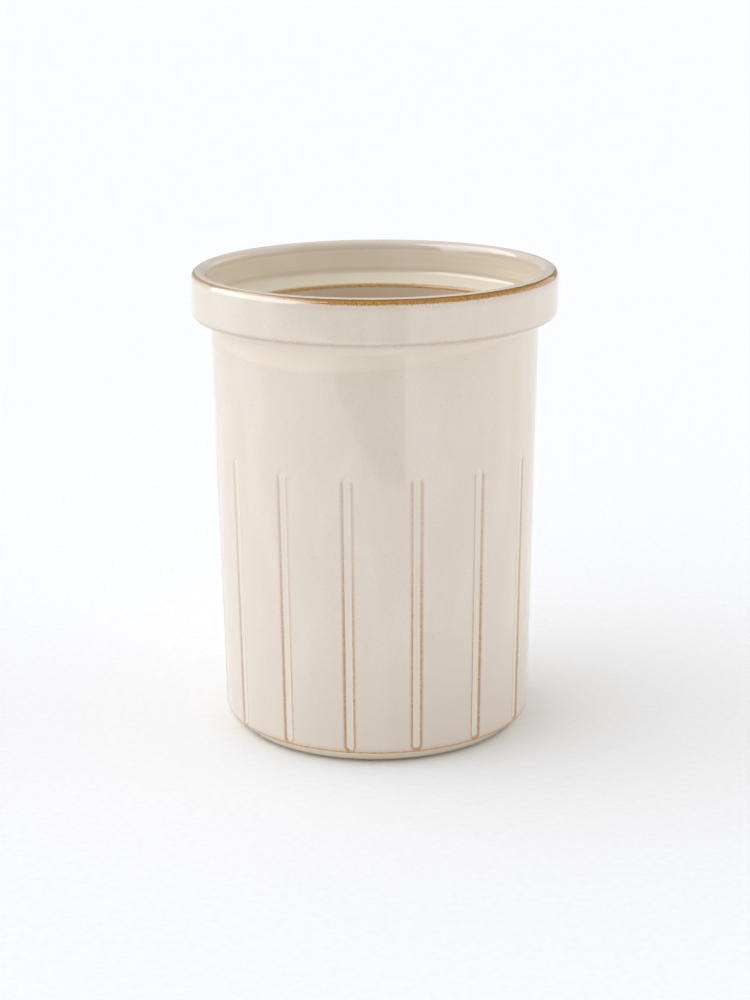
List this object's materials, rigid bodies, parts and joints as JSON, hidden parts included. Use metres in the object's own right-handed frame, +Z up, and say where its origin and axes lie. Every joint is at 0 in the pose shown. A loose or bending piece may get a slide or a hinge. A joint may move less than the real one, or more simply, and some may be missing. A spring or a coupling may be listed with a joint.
{
  "type": "utensil crock",
  "caption": "Tall glazed stoneware crock with a heavy rolled collar, a stepped mouth, a fluted lower wall and a bevelled foot, for holding kitchen utensils.",
  "frame": {"origin": "on the table, under the centre of the foot ring", "axes": "+Z up along the vessel's axis, -Y towards the front of the picture, +X to the right in it"},
  "size_m": [0.14, 0.14, 0.18],
  "materials": {
    "bare_stoneware": "bare fired clay, matt",
    "outer_cream_glaze": "glossy cream reactive glaze, brown where it thins",
    "liner_cream_glaze": "glossy cream glaze, brown at the throat",
    "base_cream_glaze": "thin cream glaze"
  },
  "bodies": {
    "root": {"stoneware_body": "bare_stoneware", "outer_glaze": "outer_cream_glaze", "liner_glaze": "liner_cream_glaze", "base_glaze": "base_cream_glaze"}
  },
  "joints": []
}
